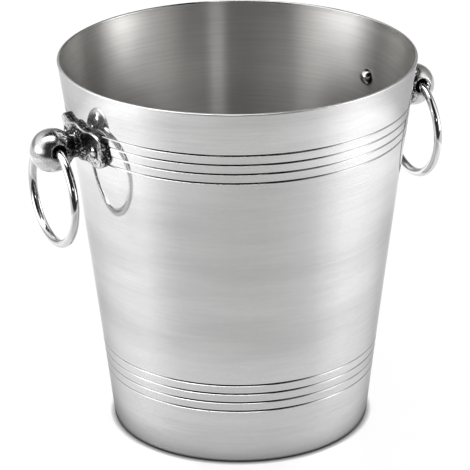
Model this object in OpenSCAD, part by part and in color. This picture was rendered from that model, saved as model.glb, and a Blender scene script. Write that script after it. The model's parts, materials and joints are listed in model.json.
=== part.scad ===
// Champagne bucket with two cast knob brackets and a hanging ring in each.
// The origin is the middle of the standing ring, on the surface that the bucket stands on.
// +Z is up, and the two brackets lie on the X axis. "Left" is -X and "front" is -Y.

/* [Bucket] */
// Height from the table to the top of the lip
bucket_h = 216; // [190:1:260]
// Diameter over the lip
rim_d = 200; // [180:1:240]
// Diameter of the base
base_d = 145.6; // [120:0.2:170]
// How far the side bows in from a straight cone at half height
side_bow = 0.7; // [0:0.1:2]
// Thickness of the side, measured level
wall_t = 1.5; // [1:0.1:3]
// Thickness of the rounded lip
lip_t = 1.7; // [1.7:0.1:4]
// Thickness of the bottom
bottom_t = 1.8; // [1.2:0.1:4]
// Radius of the outer corner between side and base
base_corner_r = 2.4; // [1:0.1:6]
// Radius of the hollow corner inside, between side and bottom
floor_corner_r = 7; // [3:0.5:15]
// Width of the flat ring that the bucket stands on
foot_w = 5; // [3:0.5:12]
// How far the middle of the bottom is raised off the table
bottom_rise = 2; // [0.5:0.1:5]

/* [Turned lines] */
// Lines in each of the two bands
line_count = 4; // [1:1:6]
// Width of a line
line_w = 1.3; // [0.6:0.1:2]
// Depth of a line
line_depth = 0.4; // [0.1:0.05:0.6]
// Distance from one line to the next
line_pitch = 5.5; // [3:0.1:7]
// From the top of the lip down to the first line of the upper band
upper_band_drop = 24.4; // [15:0.2:40]
// From the table up to the first line of the lower band
lower_band_rise = 33.5; // [15:0.5:60]

/* [Knob brackets] */
// From the top of the lip down to the middle of each bracket
bracket_drop = 34; // [30:0.5:60]
// Thickness of the saddle plate at its middle
plate_t = 3.2; // [2:0.1:5]
// Radius of the plate's outer face, which is flatter than the side, so that the plate thickens to its ends
plate_face_r = 115; // [110:5:400]
// Radius of each end lobe of the plate
lobe_r = 10.5; // [8:0.1:13]
// Radius of the round middle of the plate, under the neck
boss_r = 11.4; // [10:0.1:14]
// Radius of the hollow that blends a lobe into the middle
waist_r = 16; // [10:1:30]
// Radius of the neck at its narrowest
neck_r = 7.6; // [5:0.1:8]
// Radius of the hollow between the neck and the plate
neck_fillet_r = 3.6; // [1:0.1:5]
// Diameter of the knob
knob_d = 24.4; // [20:0.2:28]
// From the face of the wall out to the middle of the knob
knob_reach = 18.4; // [17:0.2:26]
// How far the bore lies above the middle of the knob
bore_rise = 2.1; // [0:0.1:3]
// Length of the bore between its flared mouths
bore_straight_w = 19; // [14:0.5:22]

/* [Rings] */
// Diameter of a ring, outside
ring_d = 61; // [54:0.5:70]
// Diameter of a ring's wire
ring_wire_d = 5; // [4:0.1:6]
// Play between the wire and the bore, all round
ring_play = 0.2; // [0.1:0.05:0.6]

/* [Rivets] */
// Distance between the two rivets of a bracket
rivet_spacing = 34; // [30:0.5:38]
// Diameter of a rivet's shank
rivet_d = 4; // [3:0.1:5]
// Play between a shank and its hole, all round
rivet_play = 0.05; // [0.02:0.01:0.1]
// Diameter of the domed head outside
outer_head_d = 7; // [6:0.1:9]
// Height of the domed head outside
outer_head_h = 1.8; // [1:0.1:2.5]
// Room round the outside head in its seat
seat_play = 0.3; // [0.1:0.05:0.6]
// Diameter of the domed head inside
inner_head_d = 9.4; // [7:0.1:11]
// Height of the domed head inside
inner_head_h = 3.3; // [1:0.1:4]

/* [Hidden] */

// Straight stretches that stand for the bow of the whole side and of the part behind a bracket
SIDE_STEPS = 24;
PLATE_STEPS = 4;
// Steps of a quarter turn at the corners of the base
CORNER_STEPS = 6;
// Facets of a full turn in previews
TURN_FN = 120;
FINE_FN = 48;
// How far a cutting shape runs past what it cuts
PAST = 1;
// How far a blending hollow bites into the rounds on either side, so that their faces cross cleanly
BLEND_BITE = 0.02;
// How far a rivet's flat seat is sunk below the lowest part of the face that it is cut in
SEAT_BITE = 0.1;

rim_r = rim_d / 2;
base_r = base_d / 2;
knob_r = knob_d / 2;
bracket_z = bucket_h - bracket_drop;

// Radius of the side at a height, before the corners and the lip
function side_r(z) =
    let (s = z / bucket_h)
    base_r + (rim_r - base_r) * s - 4 * side_bow * s * (1 - s);

// How far the side leans out at a height, in degrees from upright
function lean(z) = atan(((rim_r - base_r) - 4 * side_bow * (1 - 2 * z / bucket_h)) / bucket_h);

// Points along the side from height z0 to z1, moved out level by out
function side_points(z0, z1, out, steps) = [
    for (i = [0 : steps])
        let (z = z0 + (z1 - z0) * i / steps)
        [side_r(z) + out, z]
];

// Points on an arc from angle a0 to a1
function arc_points(centre, r, a0, a1) = [
    for (i = [0 : CORNER_STEPS])
        let (a = a0 + (a1 - a0) * i / CORNER_STEPS)
        centre + r * [cos(a), sin(a)]
];

floor_z = bottom_rise + bottom_t;
lip_mid_z = bucket_h - lip_t / 2;

// The lean at a bracket sets its tilt, so that its plate lies flat on the side
bracket_lean = lean(bracket_z);
// The thickness of the wall, square to the side
wall_depth = wall_t * cos(bracket_lean);
rivet_angle = asin(rivet_spacing / 2 / side_r(bracket_z));

// Radius of the bend of the side behind a bracket, square to the side
side_bend_r = side_r(bracket_z) / cos(bracket_lean);

// How far the plate's outer face is from the middle of that bend, at an angle from the middle of the plate
function face_from_mid(angle) =
    let (offset = side_bend_r + plate_t - plate_face_r)
    offset * cos(angle) + sqrt(pow(plate_face_r, 2) - pow(offset * sin(angle), 2));

// A rivet stands square to the side, where the flatter face is slanted, so its head gets a flat seat
seat_r = outer_head_d / 2 + seat_play;
seat_half_angle = asin(seat_r / side_bend_r);
seat_x = face_from_mid(rivet_angle - seat_half_angle) * cos(seat_half_angle) - side_bend_r - SEAT_BITE;

// The ring's wire bends inside the straight bore, so the bore holds the bend as well as the wire
ring_out_r = ring_d / 2;
ring_in_r = ring_out_r - ring_wire_d;
wire_room = ring_out_r - sqrt(pow(ring_in_r, 2) - pow(bore_straight_w / 2, 2));
bore_r = wire_room / 2 + ring_play;
ring_drop = ring_out_r - wire_room / 2;

// Middle of the knob and of its bore
knob_x = side_r(bracket_z) + knob_reach * cos(bracket_lean);
knob_z = bracket_z - knob_reach * sin(bracket_lean);
bore_z = knob_z + bore_rise;

// A flat head on the hollow inner wall stands off by this much where it is not at its edge
inner_head_lift = pow(inner_head_d / 2, 2) / (2 * (side_r(bracket_z) - wall_t));

// Moves a shape that stands along +X onto the side, square to it, turned by angle round the bucket
module on_side(angle) {
    rotate([0, 0, angle])
        translate([side_r(bracket_z), 0, bracket_z])
            rotate([0, bracket_lean, 0])
                children();
}

// A cylinder along +X from x0 to x1
module rod(r, x0, x1) {
    translate([x0, 0, 0])
        rotate([0, 90, 0])
            cylinder(r = r, h = x1 - x0, $fn = FINE_FN);
}

// A domed cap of base radius r and height h, standing on x = 0 along +X
module dome(r, h) {
    ball_r = (r * r + h * h) / (2 * h);
    rotate([0, 90, 0])
        rotate_extrude($fn = FINE_FN)
            intersection() {
                translate([0, h - ball_r])
                    circle(r = ball_r, $fn = FINE_FN);
                square([r + PAST, h + PAST]);
            }
}

// Outline of the shell, from the axis outwards and round
module shell_outline() {
    corner_out = [side_r(base_corner_r) - base_corner_r, base_corner_r];
    corner_in = [side_r(floor_z + floor_corner_r) - wall_t - floor_corner_r, floor_z + floor_corner_r];
    foot_in_r = corner_out[0] - foot_w;
    polygon(concat(
        [[0, bottom_rise], [foot_in_r - bottom_rise, bottom_rise], [foot_in_r, 0]],
        arc_points(corner_out, base_corner_r, -90, -lean(base_corner_r)),
        side_points(base_corner_r + PAST, lip_mid_z, 0, SIDE_STEPS),
        side_points(lip_mid_z, floor_z + floor_corner_r, -wall_t, SIDE_STEPS),
        arc_points(corner_in, floor_corner_r, -lean(floor_z), -90),
        [[0, floor_z]]
    ));
}

// One turned line in the side at height z, as the round tip of a tool
module line_cut(z) {
    tip_r = (pow(line_w / 2, 2) + pow(line_depth, 2)) / (2 * line_depth);
    translate([side_r(z) + tip_r - line_depth, z])
        circle(r = tip_r, $fn = FINE_FN);
}

module bucket_body() {
    color("silver")
    difference() {
        rotate_extrude($fn = TURN_FN) {
            difference() {
                shell_outline();
                for (i = [0 : line_count - 1]) {
                    line_cut(bucket_h - upper_band_drop - i * line_pitch);
                    line_cut(lower_band_rise + i * line_pitch);
                }
            }
            translate([rim_r - lip_t / 2, lip_mid_z])
                circle(d = lip_t, $fn = FINE_FN);
        }
        for (side = [0, 180], turn = [-rivet_angle, rivet_angle])
            on_side(side + turn)
                rod(rivet_d / 2 + rivet_play, -wall_t - PAST, PAST);
    }
}

// The saddle plate seen from outside, as a prism along X: two lobes and a round middle, blended by hollows
module plate_prism() {
    span = rivet_spacing / 2;
    // Middle of the hollow that touches both a lobe and the round middle
    to_boss = boss_r + waist_r;
    to_lobe = lobe_r + waist_r;
    hollow_y = (span * span + to_boss * to_boss - to_lobe * to_lobe) / (2 * span);
    hollow_z = sqrt(to_boss * to_boss - hollow_y * hollow_y);
    difference() {
        union() {
            rod(boss_r, -knob_reach, knob_reach);
            for (end = [-1, 1]) {
                kite = [[0, 0], [end * hollow_y, hollow_z], [end * span, 0], [end * hollow_y, -hollow_z]];
                translate([0, end * span, 0])
                    rod(lobe_r, -knob_reach, knob_reach);
                translate([-knob_reach, 0, 0])
                    rotate([90, 0, 90])
                        linear_extrude(2 * knob_reach)
                            polygon(kite);
            }
        }
        for (end = [-1, 1], up = [-1, 1])
            translate([0, end * hollow_y, up * hollow_z])
                rod(waist_r + BLEND_BITE, -knob_reach - PAST, knob_reach + PAST);
    }
}

// The plate: its outline, hollowed to the side at the back and rounded to a flatter curve in front
module saddle_plate() {
    low_z = bracket_z - boss_r - lobe_r;
    high_z = bracket_z + boss_r + lobe_r;
    intersection() {
        on_side(0)
            plate_prism();
        // The seams of the two turned shapes are kept away from the plate
        on_side(0)
            translate([plate_t - plate_face_r, 0, 0])
                rotate([0, 0, 180])
                    cylinder(r = plate_face_r, h = 2 * (boss_r + lobe_r), center = true, $fn = TURN_FN);
        rotate([0, 0, 90])
            rotate_extrude($fn = TURN_FN)
                polygon(concat(
                    side_points(low_z, high_z, 0, PLATE_STEPS),
                    side_points(high_z, low_z, knob_reach, 1)
                ));
    }
}

// The neck between plate and knob, with a hollow where it meets the plate
module neck() {
    rotate([0, 90, 0])
        rotate_extrude($fn = FINE_FN)
            difference() {
                translate([0, plate_t / 2])
                    square([neck_r + neck_fillet_r, knob_reach - plate_t / 2]);
                translate([neck_r + neck_fillet_r, plate_t + neck_fillet_r])
                    circle(r = neck_fillet_r, $fn = FINE_FN);
                translate([neck_r, plate_t + neck_fillet_r])
                    square([neck_fillet_r + PAST, knob_reach]);
            }
}

// The cast bracket on the +X side
module knob_bracket() {
    difference() {
        union() {
            saddle_plate();
            on_side(0)
                neck();
            translate([knob_x, 0, knob_z])
                sphere(d = knob_d, $fn = TURN_FN);
        }
        translate([knob_x, 0, bore_z])
            rotate([90, 0, 0]) {
                cylinder(r = bore_r, h = knob_d + 2 * PAST, center = true, $fn = FINE_FN);
                for (end = [0, 180])
                    rotate([0, end, 0])
                        translate([0, 0, bore_straight_w / 2])
                            cylinder(r1 = bore_r, r2 = bore_r + knob_r, h = knob_r, $fn = FINE_FN);
            }
        for (turn = [-rivet_angle, rivet_angle])
            on_side(turn) {
                rod(rivet_d / 2 + rivet_play, -PAST, seat_x + PAST);
                rod(seat_r, seat_x, seat_x + outer_head_h + PAST);
            }
    }
}

// A ring hanging in the bore on the +X side
module ring() {
    translate([knob_x, 0, bore_z - ring_drop])
        rotate([0, 90, 0])
            rotate_extrude($fn = TURN_FN)
                translate([ring_out_r - ring_wire_d / 2, 0])
                    circle(d = ring_wire_d, $fn = FINE_FN);
}

// A set rivet through the plate and the wall, turned by angle round the bucket
module rivet(angle) {
    inner_face = -wall_depth - inner_head_lift;
    on_side(angle) {
        // The shank ends inside the heads
        rod(rivet_d / 2, inner_face - inner_head_h / 2, seat_x + outer_head_h / 2);
        translate([seat_x, 0, 0])
            dome(outer_head_d / 2, outer_head_h);
        translate([inner_face, 0, 0])
            mirror([1, 0, 0])
                dome(inner_head_d / 2, inner_head_h);
    }
}

module left_knob_bracket() {
    color("lightgray")
        rotate([0, 0, 180])
            knob_bracket();
}

module right_knob_bracket() {
    color("lightgray")
        knob_bracket();
}

module left_ring() {
    color("gainsboro")
        rotate([0, 0, 180])
            ring();
}

module right_ring() {
    color("gainsboro")
        ring();
}

module left_front_rivet() {
    color("whitesmoke")
        rivet(180 + rivet_angle);
}

module left_back_rivet() {
    color("whitesmoke")
        rivet(180 - rivet_angle);
}

module right_front_rivet() {
    color("whitesmoke")
        rivet(-rivet_angle);
}

module right_back_rivet() {
    color("whitesmoke")
        rivet(rivet_angle);
}

bucket_body();
left_knob_bracket();
right_knob_bracket();
left_ring();
right_ring();
left_front_rivet();
left_back_rivet();
right_front_rivet();
right_back_rivet();
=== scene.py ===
"""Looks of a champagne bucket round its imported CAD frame. Everything is in metres, with +Z up.

The bucket is a spun shell with a satin finish, brushed round and round. Each bracket is a casting, made as a
solid field with rounded edges and fillets. The rings and the rivets are polished turned shapes.
"""

import json
import math

import bpy
import numpy as np
import openvdb
from mathutils import Matrix, Vector


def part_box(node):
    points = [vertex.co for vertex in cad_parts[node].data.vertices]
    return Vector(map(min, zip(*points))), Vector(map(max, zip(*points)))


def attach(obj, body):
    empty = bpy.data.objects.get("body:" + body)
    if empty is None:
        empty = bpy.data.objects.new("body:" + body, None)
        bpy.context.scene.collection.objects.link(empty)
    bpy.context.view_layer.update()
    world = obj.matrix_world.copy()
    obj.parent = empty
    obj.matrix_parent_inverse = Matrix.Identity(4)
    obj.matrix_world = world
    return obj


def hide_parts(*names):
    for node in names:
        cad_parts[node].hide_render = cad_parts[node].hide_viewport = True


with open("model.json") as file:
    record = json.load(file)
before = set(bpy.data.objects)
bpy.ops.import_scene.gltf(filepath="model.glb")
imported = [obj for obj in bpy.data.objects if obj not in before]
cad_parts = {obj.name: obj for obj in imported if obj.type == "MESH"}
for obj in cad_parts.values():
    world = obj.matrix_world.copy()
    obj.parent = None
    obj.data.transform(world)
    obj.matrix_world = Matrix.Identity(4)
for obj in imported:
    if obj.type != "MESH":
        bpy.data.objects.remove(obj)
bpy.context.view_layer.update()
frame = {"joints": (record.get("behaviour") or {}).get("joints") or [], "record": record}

# ---------------------------------------------------------------- sizes
# The frame gives the overall sizes, the hinges and the rings.
_, BODY_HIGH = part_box("bucket_body")
HEIGHT = BODY_HIGH.z
RIM_R = BODY_HIGH.x
HINGE = {j["child"]: Vector(j["pos_m"]) for j in frame["joints"]}
RING_LOW, RING_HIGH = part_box("right_ring")
RING_R = (RING_HIGH.z - RING_LOW.z) / 2
WIRE_R = (RING_HIGH.x - RING_LOW.x) / 2
FLOOR_Z = next(m["pos_m"][2] for m in frame["record"]["mounts"] if m["name"] == "inner_floor")

# The bucket's section
BASE_R = 0.0728
SIDE_BOW = 0.0007
WALL = 0.0015
LIP_R = 0.00085
BASE_CORNER_R = 0.0024
FLOOR_CORNER_R = 0.007
FOOT_W = 0.005
BOTTOM_RISE = 0.002

# The turned lines
LINE_COUNT = 4
LINE_W = 0.0013
LINE_DEPTH = 0.0004
LINE_PITCH = 0.0055
UPPER_BAND_Z = HEIGHT - 0.0244
LOWER_BAND_Z = 0.0335

# The brackets
BRACKET_Z = HEIGHT - 0.034
PLATE_T = 0.0032
PLATE_FACE_R = 0.115
LOBE_R = 0.0105
BOSS_R = 0.0114
WAIST_R = 0.016
NECK_R = 0.0076
NECK_FILLET_R = 0.0036
KNOB_FILLET_R = 0.0012
PLATE_EDGE_R = 0.0009
KNOB_R = 0.0122
KNOB_REACH = 0.0184
BORE_R = 0.003618
BORE_HALF = 0.0095
BORE_EDGE_R = 0.0005
CAST_GRID = 0.0003

# The rivets: each head is (radius, height), and the painted shade and tarnish at its foot grow over
# HEAD_FOOT, in shares of that radius
RIVET_SPAN = 0.017
SHANK_R = 0.002
SHANK_PLAY = 0.00005
OUTER_HEAD = (0.0035, 0.0018)
INNER_HEAD = (0.0047, 0.0033)
HEAD_FOOT = (0.55, 0.95)
SEAT_R = OUTER_HEAD[0] + 0.0003
SEAT_BITE = 0.0001

# Wear and painted light, as distances and what they turn into: 1 is a tarnished hollow, in places painted
# shade, 0 an open face and -1 a rubbed edge, in places with a painted highlight. On the shell: across the lip
# in shares of its radius, where 1 is painted shade just inside it and -2 its rough top with a painted
# highlight, and from the middle of a turned line in shares of its width
LIP_SHADE_AND_GLINT = ([-0.55, -0.15], [1.0, -2.0])
LINE_WEAR_AND_GLINT = ([0.2, 0.36, 0.5, 0.6, 0.9], [1.0, 0.0, -1.0, -1.0, 0.0])
# On a casting: along the neck and round it, behind the plate's face, in the bore, and round a rivet's seat,
# where it is painted shade with tarnish
NECK_ALONG = ([KNOB_REACH - 0.006, KNOB_REACH - 0.001], [1, 0])
NECK_ROUND = ([0.009, 0.012, 0.022], [1, 0.6, 0.25])
PLATE_SIDES = ([-0.0011, -0.0006], [1, 0])
BORE_MOUTH = ([0.0002, 0.0009], [1, 0])
SEAT_SHADE_EDGE = ([SEAT_R + 0.0001, SEAT_R + 0.0004], [1, 0])
# and how far the rim of its plate is rubbed and carries a painted highlight, back from the face and in from
# the outline
RIM_FACE = ([-0.0007, -0.0004], [0, 1])
RIM_OUTLINE = ([-0.0011, -0.0007], [0, 1])
RIM_RUB_AND_GLINT = 2

# Inside, a painted highlight band runs up the side, a bright reflection painted into the tone: its place as
# an angle to the right of the camera's side, its half width without its soft edge and with it, its gain, and
# the heights over which it starts
PAINTED_BAND_AT = math.radians(-172.7)
PAINTED_BAND_HALF = (math.radians(1), math.radians(5.5))
PAINTED_BAND_GAIN = 1.3
PAINTED_BAND_FROM = (FLOOR_Z + 0.004, FLOOR_Z + 0.02)
# Painted shade: the inside's tone is darker below these heights, down to this share
SHADE_BELOW = (0.154, 0.18)
SHADED_SHARE = 0.77

# Steps round the turned shapes
BODY_STEPS = 360
RING_STEPS = 240
WIRE_STEPS = 48
RIVET_STEPS = 64
# Steps along their sections
SIDE_STEPS = 60
LINE_STEPS = 16
BASE_CORNER_STEPS = 10
FLOOR_CORNER_STEPS = 12
LIP_STEPS = 20
HEAD_STEPS = 14
# Points beside each turned line, in shares of its width
BESIDE_LINE = (-0.9, -0.6, 0.6, 0.9)
# Edges that turn by more than this stay sharp
SHARP_ANGLE = math.radians(40)

# Noises: how much finer along X, Y and Z, the scale and the detail. Most of a noise lies in its span.
NOISE_SPAN = (0.3, 0.7)
STREAKS = ((1, 1, 40), 25, 6)
SMUDGES = ((1, 1, 5), 7, 5)
STAINS = ((1, 1, 12), 30, 3)
GRAIN = ((1, 1, 1), 900, 2)
WIRE_WAVES = ((1, 1, 1), 180, 2)
CAST_WAVES = ((1, 1, 1), 150, 2)
DENTS = ((1, 1, 1), 450, 2)
SPECKS = ((1, 1, 1), 950, 3)
PITS = ((1, 1, 1), 1300, 3)

# Depths of the metal's unevenness
STREAK_DEPTH = 0.0002
WIRE_WAVE = 0.000001
CAST_WAVE = 0.00004
CAST_DENTS = 0.000014
CAST_PITS = 0.000008

# The outside. Pairs are the least and the most that a noise gives.
OUTER_TONE = (0.76, 0.9)
OUTER_STREAKS = (-0.02, 0.02)
OUTER_GRAIN = (-0.012, 0.012)
OUTER_ROUGH = (0.42, 0.5)
OUTER_BUMP = 0.06
OUTER_SPREAD = 0.8
OUTER_EDGE = 0.6
# A rubbed edge's tone, raised above the metal's as a painted highlight: beside the turned lines, on the lip's
# top and along a casting's rim
RUBBED_GLINT_TONE = 1.12
# Tarnish left in the turned lines, and the painted shade that darkens them more on the camera's side, by the
# cosine of the angle from it
LINE_TARNISH = (0.18, 0.4)
STAIN_SPAN = (0.32, 0.5)
FRONT_SHADE_SPAN = (0.8, 0.92)
FRONT_SHADE = 0.55
# How much of the outside mirrors sharply, what a low angle and the turned lines add to it, and how rough that
# mirror is on the lip and elsewhere
MIRROR_SHARE = (0.77, 0.81)
LOW_ANGLE_SPAN = (0.35, 0.65)
LOW_ANGLE_SHARE = 0.16
LINE_SHARE = 0.2
LIP_ROUGH = 0.4
MIRROR_ROUGH = 0.05

# The inside
INNER_TONE = (0.7, 0.77)
INNER_ROUGH = (0.3, 0.36)
INNER_BUMP = 0.15
INNER_SPREAD = 0.95
INNER_EDGE = 0.8
INNER_WARMTH = 0.035

# The wire and the rivets
BRIGHT_TONE = (0.74, 0.78)
BRIGHT_ROUGH = (0.04, 0.09)

# The castings. SPECK_SHIFT is what the specks add to how sheltered a point is, before it is read as tarnish.
CAST_TONE = (0.6, 0.76)
CAST_ROUGH = (0.2, 0.36)
SPECK_SPAN = (0.33, 0.67)
SPECK_SHIFT = (-0.6, 0.42)
TARNISH_SPAN = (0.25, 0.75)
# What is left of a metal's tone under full tarnish, and under the painted shade at a rivet head's foot and
# round a rivet's seat
TARNISH_AND_SHADE_LEFT = 0.05

# Dim light is warmer: where that starts, how much lower it is full, and the green and blue that it takes away
WARM_BELOW = 0.6
WARM_OVER = 0.3
WARM_GREEN = 0.012
WARM_BLUE = 0.035

# The table: its own tone, how it glows to the camera, and how far its contact shadow reaches and falls
TABLE_HALF = 3.0
TABLE_TONE = 0.35
TABLE_ROUGH = 0.12
TABLE_GLOW = 0.77
CONTACT_REACH = 0.0035
CONTACT_FALL = 2.2
# The table that the metal mirrors: its light by the angle to the right of the camera's side, how much of that
# is evened out near the bucket, and how bright it is by the distance from the middle
TABLE_LIGHT = [(-180, 1.05), (-165, 1.25), (-150, 1.35), (-130, 1.1), (-114, 0.97), (-100, 0.97),
               (-83, 0.96), (-64, 0.89), (-54, 0.75), (-46, 0.65), (-38, 0.59), (-24, 0.56), (-5, 0.52),
               (15, 0.51), (30, 0.55), (42, 0.6), (50, 0.66), (58, 0.78), (72, 0.94), (86, 0.98),
               (100, 0.96), (120, 0.9), (144, 1.0), (180, 1.05)]
TABLE_MEAN = 0.73
EVEN_FROM = (0.1, 0.29)
EVENED = 0.57
TABLE_REACH = 0.5
TABLE_RINGS = [(0.068, 0.2), (0.073, 0.41), (0.078, 0.6), (0.083, 0.79), (0.092, 0.99), (0.11, 1.1),
               (0.178, 1.03), (0.22, 1.04), (0.28, 1.0), (0.3, 1.02), (0.385, 1.28), (0.43, 1.28),
               (0.47, 0.82)]
# Where it falls off towards the camera, in two steps, and the share that is left after each
TABLE_ENDS = [((0.43, 0.46), 0.3), ((0.46, 0.6), 0.28)]

# The camera stands off from the point VIEW_HEIGHT up the axis, and aims to the right of it and above it by
# VIEW_AIM
VIEW_AZIMUTH = math.radians(-27.3)
VIEW_ELEVATION = math.radians(22.288)
VIEW_ROLL = math.radians(-0.556)
VIEW_DISTANCE = 1.667882
VIEW_HEIGHT = 0.1
VIEW_AIM = (-0.00228, 0.00725)
LENS_MM = 224.58
SENSOR_MM = 36


def side_r(z):
    """Radius of the side at height z."""
    s = z / HEIGHT
    return BASE_R + (RIM_R - BASE_R) * s - 4 * SIDE_BOW * s * (1 - s)


def lean(z):
    """How far the side leans out at height z, as an angle."""
    return math.atan(((RIM_R - BASE_R) - 4 * SIDE_BOW * (1 - 2 * z / HEIGHT)) / HEIGHT)


TILT = lean(BRACKET_Z)
RIVET_TURN = math.asin(RIVET_SPAN / side_r(BRACKET_Z))
SIDE_BEND_R = side_r(BRACKET_Z) / math.cos(TILT)


def seat_out():
    """How far out of the side a rivet's flat seat lies: just below the lowest part of the face under it."""
    half = math.asin(SEAT_R / SIDE_BEND_R)
    turn = RIVET_TURN - half
    offset = SIDE_BEND_R + PLATE_T - PLATE_FACE_R
    face = offset * math.cos(turn) + math.sqrt(PLATE_FACE_R ** 2 - (offset * math.sin(turn)) ** 2)
    return face * math.cos(half) - SIDE_BEND_R - SEAT_BITE


SEAT_OUT = seat_out()


# ---------------------------------------------------------------- meshes
def make_object(name, points, faces, body, material, replaced):
    """A smooth-shaded piece that rides on a body and stands for a CAD node."""
    mesh = bpy.data.meshes.new(name)
    mesh.from_pydata([tuple(p) for p in points], [], [tuple(f) for f in faces])
    mesh.validate()
    mesh.polygons.foreach_set("use_smooth", [True] * len(mesh.polygons))
    mesh.set_sharp_from_angle(angle=SHARP_ANGLE)
    mesh.materials.append(material)
    piece = bpy.data.objects.new(name, mesh)
    bpy.context.scene.collection.objects.link(piece)
    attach(piece, body)
    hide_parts(replaced)
    return piece


def arc(centre, radius, start, end, steps):
    """Points on an arc in the section plane, with its angles in degrees."""
    angles = np.radians(np.linspace(start, end, steps + 1))
    return [(centre[0] + radius * math.cos(a), centre[1] + radius * math.sin(a)) for a in angles]


def lathe(profile, steps):
    """Points and faces of a profile of (radius, height) turned round Z. It starts and ends on the axis."""
    inner = np.array(profile[1:-1])
    turn = np.linspace(0, 2 * math.pi, steps, endpoint=False)
    rings = np.stack([
        np.outer(inner[:, 0], np.cos(turn)),
        np.outer(inner[:, 0], np.sin(turn)),
        np.repeat(inner[:, 1:], steps, axis=1),
    ], axis=-1).reshape(-1, 3)
    first, last = len(rings), len(rings) + 1
    points = np.vstack([rings, [[0, 0, profile[0][1]], [0, 0, profile[-1][1]]]])
    faces = []
    for j in range(steps):
        k = (j + 1) % steps
        faces.append((first, k, j))
        for i in range(len(inner) - 1):
            low, high = i * steps, (i + 1) * steps
            faces.append((low + j, low + k, high + k, high + j))
        top = (len(inner) - 1) * steps
        faces.append((top + j, top + k, last))
    return points, faces


LINES = [z for i in range(LINE_COUNT)
         for z in (UPPER_BAND_Z - i * LINE_PITCH, LOWER_BAND_Z + i * LINE_PITCH)]


def line_depth_at(z):
    """How deep the turned lines cut into the side at height z, as the round tip of a tool."""
    tip_r = ((LINE_W / 2) ** 2 + LINE_DEPTH ** 2) / (2 * LINE_DEPTH)
    off = min(abs(z - middle) for middle in LINES)
    if off > LINE_W / 2:
        return 0.0
    return math.sqrt(tip_r ** 2 - off ** 2) - (tip_r - LINE_DEPTH)


def side_heights():
    """Heights along the outside: even steps, and closer ones through each turned line."""
    heights = list(np.linspace(BASE_CORNER_R * 1.2, HEIGHT - LIP_R, SIDE_STEPS))
    heights = [z for z in heights if min(abs(z - middle) for middle in LINES) > LINE_W]
    for middle in LINES:
        heights += list(middle + LINE_W / 2 * np.linspace(-1, 1, LINE_STEPS + 1))
        heights += [middle + LINE_W * share for share in BESIDE_LINE]
    return sorted(heights)


def bucket_profile():
    """Section of the shell, from the axis under the bottom, out and up the side, and down inside."""
    corner_out = (side_r(BASE_CORNER_R) - BASE_CORNER_R, BASE_CORNER_R)
    foot_in = corner_out[0] - FOOT_W
    inner_z = FLOOR_Z + FLOOR_CORNER_R
    corner_in = (side_r(inner_z) - WALL - FLOOR_CORNER_R, inner_z)
    out_lean = math.degrees(lean(0))
    profile = [(0, BOTTOM_RISE), (foot_in - BOTTOM_RISE, BOTTOM_RISE), (foot_in, 0)]
    profile += arc(corner_out, BASE_CORNER_R, -90, -out_lean, BASE_CORNER_STEPS)
    profile += [(side_r(z) - line_depth_at(z), z) for z in side_heights()[1:]]
    profile += arc((RIM_R - LIP_R, HEIGHT - LIP_R), LIP_R, 0, 180, LIP_STEPS)
    profile += [(side_r(z) - WALL, z) for z in np.linspace(HEIGHT - LIP_R * 1.8, inner_z, SIDE_STEPS)]
    profile += arc(corner_in, FLOOR_CORNER_R, -out_lean, -90, FLOOR_CORNER_STEPS)[1:]
    profile += [(corner_in[0] * s, FLOOR_Z) for s in (0.75, 0.5, 0.25)]
    return profile + [(0, FLOOR_Z)]


def side_wear_and_light(points):
    """The shell's wear and painted light: tarnish in the turned lines, painted shade just inside the lip, and
    rubbed edges and the lip's top with a painted highlight.
    """
    wear = []
    for x, y, z in points:
        # Across the lip: painted shade just inside it, and its rough top with a painted highlight
        if z > HEIGHT - LIP_R:
            over_lip = (math.hypot(x, y) - (RIM_R - LIP_R)) / LIP_R
            wear.append(np.interp(over_lip, *LIP_SHADE_AND_GLINT))
            continue
        outside = math.hypot(x, y) > side_r(z) - WALL / 2
        off = min(abs(z - middle) for middle in LINES) / LINE_W if outside else 1.0
        wear.append(np.interp(off, *LINE_WEAR_AND_GLINT))
    return np.array(wear, dtype=np.float32)


def make_bucket(outside, inside):
    """The shell, with its inside in a finish of its own up to the lip."""
    points, faces = lathe(bucket_profile(), BODY_STEPS)
    shell = make_object("bucket_shell", points, faces, "bucket", outside, "bucket_body")
    shell.data.materials.append(inside)
    # Faces whose middle is past the middle of the wall, above the bottom and below the lip
    for face in shell.data.polygons:
        radius = math.hypot(face.center.x, face.center.y)
        within = radius < side_r(face.center.z) - WALL * 0.7 and face.center.z > BOTTOM_RISE * 1.2
        face.material_index = int(within and face.center.z < HEIGHT - LIP_R)
    shell.data.attributes.new("hollow", "FLOAT", "POINT").data.foreach_set("value", side_wear_and_light(points))


def make_ring(side, material):
    """One closed ring of round wire, hanging from its hinge."""
    low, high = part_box(f"{side}_ring")
    middle = (low + high) / 2
    run_r = RING_R - WIRE_R
    around = np.linspace(0, 2 * math.pi, RING_STEPS, endpoint=False)
    across = np.linspace(0, 2 * math.pi, WIRE_STEPS, endpoint=False)
    a, b = np.meshgrid(around, across, indexing="ij")
    reach = run_r + WIRE_R * np.cos(b)
    points = np.stack([
        middle.x + WIRE_R * np.sin(b),
        middle.y + reach * np.sin(a),
        middle.z + reach * np.cos(a),
    ], axis=-1).reshape(-1, 3)
    faces = []
    for i in range(RING_STEPS):
        for j in range(WIRE_STEPS):
            i2, j2 = (i + 1) % RING_STEPS, (j + 1) % WIRE_STEPS
            faces.append((i * WIRE_STEPS + j, i * WIRE_STEPS + j2, i2 * WIRE_STEPS + j2, i2 * WIRE_STEPS + j))
    make_object(f"{side}_ring_wire", points, faces, f"{side}_ring", material, f"{side}_ring")


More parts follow.
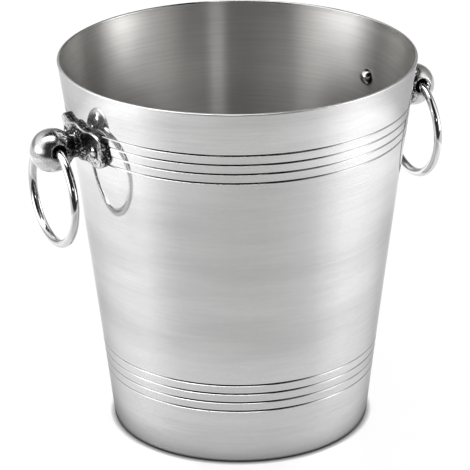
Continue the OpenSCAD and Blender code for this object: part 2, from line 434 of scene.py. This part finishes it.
def on_side(turn):
    """Where a shape that stands along +X goes on the side, turned by an angle round the bucket."""
    return (Matrix.Rotation(turn, 4, "Z")
            @ Matrix.Translation((side_r(BRACKET_Z), 0, BRACKET_Z))
            @ Matrix.Rotation(TILT, 4, "Y"))


def head_profile(size, seat, out):
    """Section of a domed head from its edge to its top: size is (radius, height), out is +1 or -1."""
    radius, height = size
    ball_r = (radius ** 2 + height ** 2) / (2 * height)
    start = math.degrees(math.asin((ball_r - height) / ball_r))
    edge = arc((0, height - ball_r), ball_r, start, 90, HEAD_STEPS)
    return [(r, seat + out * z) for r, z in edge]


def foot_shade(points):
    """0 on the top of each head and 1 at its foot, where painted shade and tarnish lie."""
    heads = [(OUTER_HEAD if z > 0 else INNER_HEAD)[0] for _, _, z in points]
    share = [math.hypot(p[0], p[1]) / head_r for p, head_r in zip(points, heads)]
    return np.interp(share, HEAD_FOOT, [0, 1]).astype(np.float32)


def make_rivet(name, turn, material):
    """A set rivet: a head outside, a shank and a head inside, turned and then laid square to the side."""
    seat_in = -WALL - INNER_HEAD[0] ** 2 / (2 * side_r(BRACKET_Z))
    outer = head_profile(OUTER_HEAD, SEAT_OUT, 1)
    inner = head_profile(INNER_HEAD, seat_in, -1)
    profile = inner[::-1] + [(SHANK_R, seat_in), (SHANK_R, SEAT_OUT)] + outer
    points, faces = lathe(profile, RIVET_STEPS)
    place = on_side(turn) @ Matrix.Rotation(math.pi / 2, 4, "Y")
    placed = [place @ Vector(p) for p in points]
    rivet = make_object(f"{name}_head_and_shank", placed, faces, "bucket", material, name)
    rivet.data.attributes.new("hollow", "FLOAT", "POINT").data.foreach_set("value", foot_shade(points))


# ---------------------------------------------------------------- the cast bracket, as a solid field
def round_union(a, b, radius):
    """Joins two fields with a hollow fillet."""
    corner = np.hypot(np.maximum(radius - a, 0), np.maximum(radius - b, 0))
    return np.maximum(radius, np.minimum(a, b)) - corner


def round_overlap(a, b, radius):
    """Keeps what two fields share, with a rounded edge."""
    corner = np.hypot(np.maximum(radius + a, 0), np.maximum(radius + b, 0))
    return np.minimum(-radius, np.maximum(a, b)) + corner


def plate_outline(y, w):
    """Distance outside the plate's outline, seen square to the side: y across, w up the side."""
    y, w = np.abs(y), np.abs(w)
    to_boss = BOSS_R + WAIST_R
    to_lobe = LOBE_R + WAIST_R
    hollow_y = (RIVET_SPAN ** 2 + to_boss ** 2 - to_lobe ** 2) / (2 * RIVET_SPAN)
    hollow_w = math.sqrt(to_boss ** 2 - hollow_y ** 2)
    boss = np.hypot(y, w) - BOSS_R
    lobe = np.hypot(y - RIVET_SPAN, w) - LOBE_R
    # The kite between the three rounds, less the hollow that blends them
    under_boss = (w * hollow_y - y * hollow_w) / to_boss
    under_lobe = (w * (RIVET_SPAN - hollow_y) - (RIVET_SPAN - y) * hollow_w) / to_lobe
    hollow = WAIST_R - np.hypot(y - hollow_y, w - hollow_w)
    web = np.maximum(np.maximum(under_boss, under_lobe), hollow)
    return np.minimum(np.minimum(boss, lobe), web)


def from_side(x, y, z, turn=0.0):
    """How far points lie out of the side, across it and up it, where a shape stands on it at a turn."""
    along = x * math.cos(turn) + y * math.sin(turn) - side_r(BRACKET_Z)
    across = y * math.cos(turn) - x * math.sin(turn)
    rise = z - BRACKET_Z
    return (along * math.cos(TILT) - rise * math.sin(TILT), across,
            along * math.sin(TILT) + rise * math.cos(TILT))


def bracket_field(x, y, z):
    """Distance outside the casting on the +X side, at points of the shared frame."""
    hinge = HINGE["right_ring"]
    knob_z = BRACKET_Z - KNOB_REACH * math.sin(TILT)
    out, _, up = from_side(x, y, z)
    off_wall = (np.hypot(x, y) - side_r(z)) * math.cos(TILT)
    off_face = np.hypot(out + PLATE_FACE_R - PLATE_T, y) - PLATE_FACE_R

    plate = np.maximum(round_overlap(off_face, plate_outline(y, up), PLATE_EDGE_R), -off_wall)
    neck = np.maximum(np.hypot(y, up) - NECK_R, out - KNOB_REACH)
    solid = round_union(plate, neck, NECK_FILLET_R)
    ball = np.sqrt((x - hinge.x) ** 2 + y ** 2 + (z - knob_z) ** 2) - KNOB_R
    solid = round_union(solid, ball, KNOB_FILLET_R)
    solid = np.maximum(solid, -off_wall)
    # The bore is straight between its flared mouths
    flared_r = BORE_R + np.maximum(np.abs(y) - BORE_HALF, 0)
    solid = round_overlap(solid, flared_r - np.hypot(x - hinge.x, z - hinge.z), BORE_EDGE_R)
    for end in (-1, 1):
        out, across, up = from_side(x, y, z, end * RIVET_TURN)
        from_shank = np.hypot(across, up)
        solid = np.maximum(solid, SHANK_R + SHANK_PLAY - from_shank)
        solid = np.maximum(solid, np.minimum(SEAT_R - from_shank, out - SEAT_OUT))
    return solid


def hollow_at(points):
    """The casting's wear and painted light: 1 in its hollows and painted shade round a rivet's seat, 0 on its
    open faces and -1 on its rubbed edges, which carry a painted highlight.
    """
    x, y, z = points.T
    hinge = HINGE["right_ring"]
    out, _, up = from_side(x, y, z)
    off_face = np.hypot(out + PLATE_FACE_R - PLATE_T, y) - PLATE_FACE_R
    neck = np.interp(out, *NECK_ALONG) * np.interp(np.hypot(y, up), *NECK_ROUND)
    sides = np.interp(off_face, *PLATE_SIDES)
    bore = np.interp(np.hypot(x - hinge.x, z - hinge.z) - BORE_R, *BORE_MOUTH) * (np.abs(y) < KNOB_R)
    # Painted shade with tarnish round each rivet's seat
    seat_tarnish_and_shade = np.zeros(len(points))
    for end in (-1, 1):
        out, across, up = from_side(x, y, z, end * RIVET_TURN)
        seat_tarnish_and_shade = np.maximum(seat_tarnish_and_shade, np.interp(np.hypot(across, up), *SEAT_SHADE_EDGE))
    # The rubbed rim of the plate carries a painted highlight
    # The rim is read square to the second rivet, which is close to square to the plate
    rubbed = (np.interp(off_face, *RIM_FACE) * (out < PLATE_T)
              * np.interp(plate_outline(y, up), *RIM_OUTLINE))
    hollow = np.maximum.reduce([neck, sides, bore, seat_tarnish_and_shade]) - RIM_RUB_AND_GLINT * rubbed
    return np.clip(hollow, -1, 1).astype(np.float32)


def make_brackets(material):
    """Both castings: the right one is meshed from its field, and the left one is it turned by half a turn."""
    low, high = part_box("right_knob_bracket")
    margin = 4 * CAST_GRID
    axes = [np.arange(low[i] - margin, high[i] + margin, CAST_GRID) for i in range(3)]
    x, y, z = np.meshgrid(*axes, indexing="ij")
    grid = openvdb.FloatGrid()
    grid.background = margin
    grid.copyFromArray(np.clip(bracket_field(x, y, z), -margin, margin).astype(np.float32))
    points, triangles, quads = grid.convertToPolygons(isovalue=0.0, adaptivity=0.0)
    points = points * CAST_GRID + [a[0] for a in axes]
    faces = [tuple(f[::-1]) for f in quads] + [tuple(f[::-1]) for f in triangles]
    for side, turn in (("right", 1), ("left", -1)):
        turned = points * [turn, turn, 1]
        casting = make_object(f"{side}_bracket_casting", turned, faces, "bucket", material,
                              f"{side}_knob_bracket")
        casting.data.attributes.new("hollow", "FLOAT", "POINT").data.foreach_set("value", hollow_at(points))


# ---------------------------------------------------------------- materials
class Tree:
    """A node tree that adds a node in one call: inputs are values or the output sockets of other nodes."""

    def __init__(self, owner):
        owner.use_nodes = True
        self.tree = owner.node_tree
        self.tree.nodes.clear()

    def add(self, kind, inputs=None, **settings):
        made = self.tree.nodes.new("ShaderNode" + kind)
        for name, value in settings.items():
            setattr(made, name, value)
        for name, value in (inputs or {}).items():
            if isinstance(value, bpy.types.NodeSocket):
                self.tree.links.new(value, made.inputs[name])
            else:
                made.inputs[name].default_value = value
        return made

    def maths(self, operation, a, b=0.0, clamp=False):
        return self.add("Math", {0: a, 1: b}, operation=operation, use_clamp=clamp).outputs[0]

    def between(self, value, low, high, start=0.0, end=1.0):
        """value from low to high, turned smoothly into start to end."""
        return self.add("MapRange", {"Value": value, "From Min": low, "From Max": high,
                                     "To Min": start, "To Max": end},
                        interpolation_type="SMOOTHSTEP").outputs["Result"]

    def over(self, noise, start, end):
        """A noise's usual span, turned smoothly into start to end."""
        return self.between(noise, *NOISE_SPAN, start, end)


def object_noise(tree, stretch, scale, detail):
    """Noise in the object's own space. stretch makes it finer along X, Y and Z."""
    place = tree.add("TexCoord").outputs["Object"]
    place = tree.add("Mapping", {"Vector": place, "Scale": stretch}).outputs[0]
    return tree.add("TexNoise", {"Vector": place, "Scale": scale, "Detail": detail}).outputs["Fac"]


def uneven(tree, *layers):
    """The surface's tilt where pairs of (noise, depth) lie on it."""
    height = None
    for noise, depth in layers:
        layer = tree.maths("MULTIPLY", noise, depth)
        height = layer if height is None else tree.maths("ADD", height, layer)
    return tree.add("Bump", {"Height": height, "Strength": 1.0, "Distance": 1.0}).outputs[0]


def wear_and_light_of(tree):
    """The wear and painted light that a mesh carries: see LIP_SHADE_AND_GLINT."""
    return tree.add("Attribute", attribute_name="hollow").outputs["Fac"]


def studio_axes(tree, vector):
    """A vector as its parts to the right of the studio's camera side, towards it, and up."""
    turned = tree.add("VectorRotate", {"Vector": vector, "Angle": -VIEW_AZIMUTH}, rotation_type="Z_AXIS")
    axis = tree.add("SeparateXYZ", {"Vector": turned.outputs[0]}).outputs
    return axis["X"], tree.maths("MULTIPLY", axis["Y"], -1.0), axis["Z"]


def by_stops(tree, share, stops):
    """A light that follows stops of (share, brightness). It is warmer where it is dim."""
    ramp = tree.add("ValToRGB", {"Fac": share})
    marks = ramp.color_ramp.elements
    while len(marks) > 1:
        marks.remove(marks[-1])
    for i, (place, bright) in enumerate(stops):
        mark = marks[0] if i == 0 else marks.new(place)
        mark.position = place
        warmth = min(max((WARM_BELOW - bright) / WARM_OVER, 0), 1)
        mark.color = (bright, bright * (1 - WARM_GREEN * warmth), bright * (1 - WARM_BLUE * warmth), 1)
    return ramp.outputs["Color"]


def by_azimuth(tree, right, towards, stops):
    """A light that follows stops of (degrees to the right of the camera's side, brightness)."""
    angle = tree.maths("ARCTAN2", right, towards)
    share = tree.maths("ADD", tree.maths("DIVIDE", angle, 2 * math.pi), 0.5)
    return by_stops(tree, share, [(degrees / 360 + 0.5, bright) for degrees, bright in stops])


def dimmed(tree, light, share):
    """A light times a share."""
    return tree.add("VectorMath", {0: light, "Scale": share}, operation="SCALE").outputs["Vector"]


def crossed(tree, one, other, share):
    """One light, turned into the other by a share."""
    return tree.add("VectorMath", {
        0: dimmed(tree, one, tree.maths("SUBTRACT", 1.0, share)),
        1: dimmed(tree, other, share),
    }).outputs[0]


def silver_tint(tree, tone, warmth=0.0):
    """A silver of a given tone, yellower by warmth."""
    return tree.add("CombineColor", {
        "Red": tone, "Green": tree.maths("MULTIPLY", tone, 1 - 0.4 * warmth),
        "Blue": tree.maths("MULTIPLY", tone, 1 - warmth),
    }).outputs[0]


def brushed(tree, tint, rough, normal, spread, edge):
    """A metal that is rougher up and down than round the bucket. edge darkens it at grazing angles."""
    return tree.add("BsdfPrincipled", {
        "Base Color": tint, "Metallic": 1.0, "Roughness": rough, "Anisotropic": spread,
        "Anisotropic Rotation": 0.25, "Specular Tint": (edge, edge, edge, 1),
        "Tangent": tree.add("Tangent", direction_type="RADIAL", axis="Z").outputs[0], "Normal": normal,
    }).outputs[0]


def outer_silver():
    """The outside: satin silver that still mirrors what is near it."""
    material = bpy.data.materials.new("outer_silver")
    tree = Tree(material)
    streaks = object_noise(tree, *STREAKS)
    smudges = object_noise(tree, *SMUDGES)
    grain = object_noise(tree, *GRAIN)
    tone = tree.maths("ADD", tree.over(streaks, *OUTER_STREAKS), tree.over(smudges, *OUTER_TONE))
    tone = tree.maths("ADD", tone, tree.over(grain, *OUTER_GRAIN))
    # The turned lines: some tarnish at the bottom, less in places, painted shade towards the camera's side,
    # and rubbed edges with a painted highlight
    hollow = wear_and_light_of(tree)
    right, towards, _ = studio_axes(tree, tree.add("TexCoord").outputs["Object"])
    front = tree.maths("COSINE", tree.maths("ARCTAN2", right, towards))
    # Tarnish from stains, and painted shade on the camera's side
    tarnish_and_front_shade = tree.maths("ADD", tree.between(object_noise(tree, *STAINS), *STAIN_SPAN, *LINE_TARNISH),
                      tree.between(front, *FRONT_SHADE_SPAN, 0.0, FRONT_SHADE))
    tarnish = tree.maths("MULTIPLY", tree.between(hollow, 0.0, 0.6), tarnish_and_front_shade)
    # Painted highlight on rubbed edges and the lip's top
    tone = tree.maths("MULTIPLY", tone, tree.between(hollow, -1, 0, RUBBED_GLINT_TONE, 1.0))
    tone = tree.maths("MULTIPLY", tone, tree.maths("SUBTRACT", 1.0, tarnish))
    tint = silver_tint(tree, tone)
    bump = tree.add("Bump", {"Height": streaks, "Strength": OUTER_BUMP, "Distance": STREAK_DEPTH}).outputs[0]
    satin = brushed(tree, tint, tree.over(streaks, *OUTER_ROUGH), bump, OUTER_SPREAD, OUTER_EDGE)
    mirror = tree.add("BsdfPrincipled", {
        "Base Color": tint, "Metallic": 1.0,
        "Roughness": tree.between(hollow, -2, -1.2, LIP_ROUGH, MIRROR_ROUGH),
        "Specular Tint": (OUTER_EDGE, OUTER_EDGE, OUTER_EDGE, 1),
    }).outputs[0]
    # It mirrors more sharply where it is seen at a low angle
    facing = tree.add("LayerWeight", {"Blend": 0.5}).outputs["Facing"]
    share = tree.maths("ADD", tree.over(smudges, *MIRROR_SHARE),
                       tree.between(facing, *LOW_ANGLE_SPAN, 0, LOW_ANGLE_SHARE))
    share = tree.maths("ADD", share, tree.between(hollow, 0.0, 0.4, 0.0, LINE_SHARE), clamp=True)
    mixed = tree.add("MixShader", {"Fac": share, 1: satin, 2: mirror})
    tree.add("OutputMaterial", {"Surface": mixed.outputs[0]})
    return material


def inner_silver():
    """The inside: brushed round and round, which spreads each reflection up and down, with a painted
    highlight band and painted shade deep down.
    """
    material = bpy.data.materials.new("inner_silver")
    tree = Tree(material)
    streaks = object_noise(tree, *STREAKS)
    right, towards, up = studio_axes(tree, tree.add("TexCoord").outputs["Object"])
    angle = tree.maths("ARCTAN2", right, towards)
    # A painted highlight band up the far side
    off_painted_band = tree.maths("ABSOLUTE", tree.maths("SUBTRACT", angle, PAINTED_BAND_AT))
    painted_band = tree.maths("MULTIPLY", tree.between(off_painted_band, *PAINTED_BAND_HALF, PAINTED_BAND_GAIN - 1, 0.0),
                       tree.between(up, *PAINTED_BAND_FROM))
    tone = tree.maths("MULTIPLY", tree.over(streaks, *INNER_TONE), tree.maths("ADD", painted_band, 1.0))
    # Painted shade, darker deep inside
    tone = tree.maths("MULTIPLY", tone, tree.between(up, *SHADE_BELOW, SHADED_SHARE, 1.0))
    tint = silver_tint(tree, tone, INNER_WARMTH)
    bump = tree.add("Bump", {"Height": streaks, "Strength": INNER_BUMP, "Distance": STREAK_DEPTH}).outputs[0]
    satin = brushed(tree, tint, tree.over(streaks, *INNER_ROUGH), bump, INNER_SPREAD, INNER_EDGE)
    tree.add("OutputMaterial", {"Surface": satin})
    return material


def bright_silver():
    """Polished wire and rivets, with painted shade and tarnish at the foot of each head."""
    material = bpy.data.materials.new("bright_silver")
    tree = Tree(material)
    slow = object_noise(tree, *WIRE_WAVES)
    # Painted shade with tarnish at the foot of each rivet head
    tarnish = tree.between(wear_and_light_of(tree), 0, 1, 1.0, TARNISH_AND_SHADE_LEFT)
    metal = tree.add("BsdfPrincipled", {
        "Base Color": silver_tint(tree, tree.maths("MULTIPLY", tree.over(slow, *BRIGHT_TONE), tarnish)),
        "Metallic": 1.0, "Roughness": tree.over(object_noise(tree, *PITS), *BRIGHT_ROUGH),
        "Normal": uneven(tree, (slow, WIRE_WAVE)),
    })
    tree.add("OutputMaterial", {"Surface": metal.outputs[0]})
    return material


def cast_silver():
    """The castings: polished where they stand proud, with a painted highlight on the plate's rim, speckled
    and dark with tarnish in their hollows, and with painted shade round each rivet's seat.
    """
    material = bpy.data.materials.new("cast_silver")
    tree = Tree(material)
    pits = object_noise(tree, *PITS)
    hollow = wear_and_light_of(tree)
    specks = tree.between(object_noise(tree, *SPECKS), *SPECK_SPAN, *SPECK_SHIFT)
    tarnish = tree.between(tree.maths("ADD", hollow, specks), *TARNISH_SPAN)
    tone = tree.maths("MULTIPLY", tree.over(pits, *CAST_TONE), tree.between(tarnish, 0, 1, 1.0, TARNISH_AND_SHADE_LEFT))
    # A painted highlight along the plate's rubbed rim
    tone = tree.maths("MULTIPLY", tone, tree.between(hollow, -1, 0, RUBBED_GLINT_TONE, 1.0))
    metal = tree.add("BsdfPrincipled", {
        "Base Color": silver_tint(tree, tone), "Metallic": 1.0,
        "Roughness": tree.between(tarnish, 0, 1, *CAST_ROUGH),
        "Normal": uneven(tree, (object_noise(tree, *CAST_WAVES), CAST_WAVE), (pits, CAST_PITS),
                         (object_noise(tree, *DENTS), CAST_DENTS)),
    })
    tree.add("OutputMaterial", {"Surface": metal.outputs[0]})
    return material


def shown_rays(tree):
    """1 for camera, glossy and transmission rays, which show the background."""
    rays = tree.add("LightPath").outputs
    shown = tree.maths("ADD", rays["Is Camera Ray"], rays["Is Glossy Ray"])
    return tree.maths("ADD", shown, rays["Is Transmission Ray"], clamp=True)


def white_table():
    """A white table: it glows white to the camera, keeps a contact shadow, and is a light to mirrors."""
    material = bpy.data.materials.new("white_table")
    tree = Tree(material)
    place = tree.add("TexCoord").outputs["Object"]
    right, towards, _ = studio_axes(tree, place)
    reach = tree.add("VectorMath", {0: place}, operation="LENGTH").outputs["Value"]
    rings = by_stops(tree, tree.maths("DIVIDE", reach, TABLE_REACH),
                     [(r / TABLE_REACH, b) for r, b in TABLE_RINGS])
    rings = tree.add("RGBToBW", {"Color": rings}).outputs[0]
    for span, left in TABLE_ENDS:
        rings = tree.maths("MULTIPLY", rings, tree.between(towards, *span, 1, left))
    evened = tree.between(reach, *EVEN_FROM, EVENED, 0)
    pools = crossed(tree, by_azimuth(tree, right, towards, TABLE_LIGHT), (TABLE_MEAN,) * 3, evened)
    open_air = tree.add("AmbientOcclusion", {"Distance": CONTACT_REACH}, samples=8).outputs["AO"]
    open_air = tree.maths("POWER", open_air, CONTACT_FALL)
    rays = tree.add("LightPath").outputs
    seen = tree.maths("ADD", rays["Is Camera Ray"], rays["Is Transmission Ray"], clamp=True)
    white = tree.add("BsdfPrincipled", {
        "Base Color": (TABLE_TONE, TABLE_TONE, TABLE_TONE, 1), "Roughness": TABLE_ROUGH,
        "Emission Color": (1, 1, 1, 1),
        "Emission Strength": tree.maths("MULTIPLY", tree.maths("MULTIPLY", seen, TABLE_GLOW), open_air),
    })
    mirrored = tree.add("Emission", {"Color": dimmed(tree, pools, rings), "Strength": open_air})
    top = tree.add("MixShader", {"Fac": rays["Is Glossy Ray"], 1: white.outputs[0], 2: mirrored.outputs[0]})
    tree.add("OutputMaterial", {"Surface": top.outputs[0]})
    return material


# ---------------------------------------------------------------- studio
# Brightness of the studio by the angle to the right of the camera's side, in degrees: its walls low down,
# with a dark gap round the camera and a soft light on either side, and higher up, where the lights are weaker
WALLS = [(-180, 0.7), (-168, 0.7), (-158, 0.35), (-120, 0.35), (-105, 0.45), (-92, 2.2), (-84, 4.4),
         (-76, 4.9), (-68, 4.0), (-60, 2.8), (-52, 1.2), (-48, 0.95), (-38, 0.38), (-34, 0.03), (34, 0.03),
         (40, 0.3), (56, 0.5), (66, 2.0), (72, 3.4), (80, 5.2), (88, 4.6), (96, 2.0), (104, 0.7),
         (120, 0.35), (158, 0.35), (168, 0.7), (180, 0.7)]
UPPER_WALLS = [(-180, 0.15), (-150, 0.5), (-125, 0.9), (-95, 1.2), (-75, 1.4), (-60, 1.05), (-50, 0.4),
               (-42, 0.12), (-38, 0.02), (38, 0.02), (44, 0.12), (56, 0.5), (70, 1.2), (88, 1.35), (110, 0.5),
               (150, 0.2), (180, 0.15)]
# Elevations over which the upper walls start
UPPER_FROM = (math.radians(14), math.radians(20))
# A small bright light in the gap, which the inside of the bucket draws out into a band, and its elevations
SLIT_AT = [(-180, 0), (9, 0), (12, 4.8), (16, 4.8), (19, 0), (180, 0)]
SLIT_FROM = (math.radians(19), math.radians(20.5))
SLIT_TO = (math.radians(24), math.radians(25.5))
# The long lamp overhead: elevations over which the dark top starts, the lamp's brightness, its edges as
# angles back from straight up, and how far to the right it fades
TOP_FROM = (math.radians(48), math.radians(60))
LAMP = 4.9
LAMP_NEAR = (math.radians(-20), math.radians(-16))
LAMP_FAR = (math.radians(3), math.radians(8))
LAMP_END = (0.1, 0.28)
# What lights matt surfaces, from all round
SOFT_LIGHT = 0.8


def above(tree, up, angles, start=0.0, end=1.0):
    """Turned smoothly from start to end over a pair of elevations."""
    return tree.between(up, *[math.sin(a) for a in angles], start, end)


def make_world():
    """A studio that metal mirrors: walls, a soft light on either side, and a lamp overhead in a dark top."""
    world = bpy.data.worlds.new("studio")
    bpy.context.scene.world = world
    tree = Tree(world)
    right, towards, up = studio_axes(tree, tree.add("TexCoord").outputs["Generated"])
    walls = crossed(tree, by_azimuth(tree, right, towards, WALLS),
                    by_azimuth(tree, right, towards, UPPER_WALLS), above(tree, up, UPPER_FROM))
    slit_span = tree.maths("MULTIPLY", above(tree, up, SLIT_FROM), above(tree, up, SLIT_TO, 1, 0))
    slit = dimmed(tree, by_azimuth(tree, right, towards, SLIT_AT), slit_span)
    walls = tree.add("VectorMath", {0: walls, 1: slit}).outputs[0]

    # The angle in the vertical plane through the camera: 0 is straight up, and minus is towards the camera
    pitch = tree.maths("ARCTAN2", tree.maths("MULTIPLY", towards, -1.0), up)
    lamp = tree.maths("MULTIPLY", tree.between(pitch, *LAMP_NEAR), tree.between(pitch, *LAMP_FAR, 1, 0))
    lamp = tree.maths("MULTIPLY", lamp, tree.between(right, *LAMP_END, 1, 0))
    studio = crossed(tree, walls, dimmed(tree, (LAMP,) * 3, lamp), above(tree, up, TOP_FROM))

    camera_ray = tree.add("LightPath").outputs["Is Camera Ray"]
    seen = tree.add("MixShader", {
        "Fac": camera_ray,
        1: tree.add("Background", {"Color": studio}).outputs[0],
        2: tree.add("Background", {"Color": (1, 1, 1, 1)}).outputs[0],
    })
    soft = tree.add("Background", {"Color": (SOFT_LIGHT, SOFT_LIGHT, SOFT_LIGHT, 1)})
    both = tree.add("MixShader", {"Fac": shown_rays(tree), 1: soft.outputs[0], 2: seen.outputs[0]})
    tree.add("OutputWorld", {"Surface": both.outputs[0]})


def make_floor():
    """The table, which is not part of the object."""
    mesh = bpy.data.meshes.new("table_top")
    corners = [(x * TABLE_HALF, y * TABLE_HALF, 0) for x, y in ((-1, -1), (1, -1), (1, 1), (-1, 1))]
    mesh.from_pydata(corners, [], [(0, 1, 2, 3)])
    mesh.materials.append(white_table())
    table = bpy.data.objects.new("table_top", mesh)
    bpy.context.scene.collection.objects.link(table)


def make_camera():
    """A long lens above the front left of the bucket."""
    back = Vector((math.sin(VIEW_AZIMUTH) * math.cos(VIEW_ELEVATION),
                   -math.cos(VIEW_AZIMUTH) * math.cos(VIEW_ELEVATION),
                   math.sin(VIEW_ELEVATION)))
    right = Vector((0, 0, 1)).cross(back).normalized()
    up = back.cross(right)
    middle = Vector((0, 0, VIEW_HEIGHT))
    place = middle + back * VIEW_DISTANCE
    aim = middle + right * VIEW_AIM[0] + up * VIEW_AIM[1]
    back = (place - aim).normalized()
    right = up.cross(back).normalized()
    up = back.cross(right)
    turn = Matrix((right, up, back)).transposed() @ Matrix.Rotation(VIEW_ROLL, 3, "Z")
    data = bpy.data.cameras.new("camera")
    data.lens = LENS_MM
    data.sensor_width = SENSOR_MM
    camera = bpy.data.objects.new("camera", data)
    camera.matrix_world = Matrix.Translation(place) @ turn.to_4x4()
    bpy.context.scene.collection.objects.link(camera)
    bpy.context.scene.camera = camera


# ---------------------------------------------------------------- the bucket
make_bucket(outer_silver(), inner_silver())
make_brackets(cast_silver())
bright = bright_silver()
for side, front, turn in (("left", -1, math.pi), ("right", 1, 0)):
    make_ring(side, bright)
    make_rivet(f"{side}_front_rivet", turn - front * RIVET_TURN, bright)
    make_rivet(f"{side}_back_rivet", turn + front * RIVET_TURN, bright)

make_floor()
make_world()
make_camera()
bpy.context.scene.view_settings.view_transform = "Standard"
